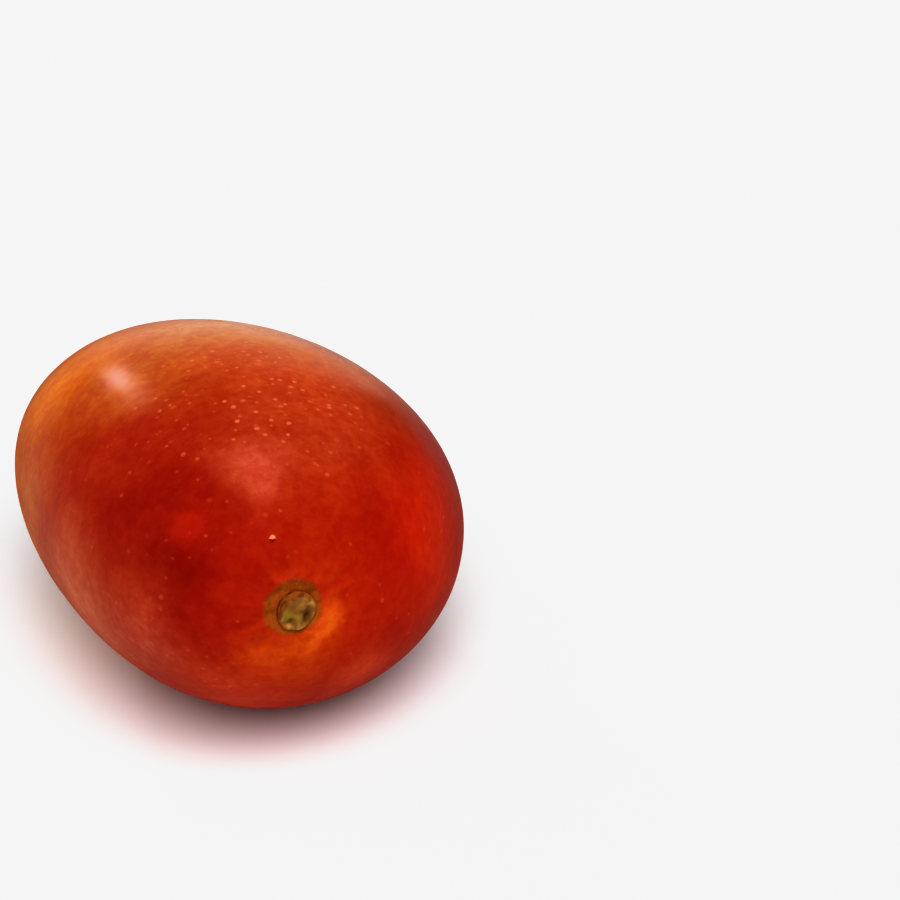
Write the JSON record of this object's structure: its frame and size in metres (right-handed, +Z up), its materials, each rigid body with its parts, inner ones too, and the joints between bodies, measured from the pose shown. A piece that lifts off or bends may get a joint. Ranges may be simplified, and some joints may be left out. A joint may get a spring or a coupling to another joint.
{
  "type": "mango fruit",
  "caption": "Whole ripe red mango lying on its cheek on a small flat spot, with the broken stub of its stalk in the pit at the stem end.",
  "frame": {"origin": "middle of the small flat spot on the underside that the fruit rests on", "axes": "+Z up, +Y along the fruit towards its tip, with the stem end facing -Y, +X towards the curved back"},
  "size_m": [0.0926, 0.1288, 0.0771],
  "materials": {
    "skin": "waxy semi-gloss, red with orange blushes and pale dots",
    "stalk_wood": "dry, rough and fibrous"
  },
  "bodies": {
    "root": {"fruit": "skin", "stem_stub": "stalk_wood"}
  },
  "joints": []
}
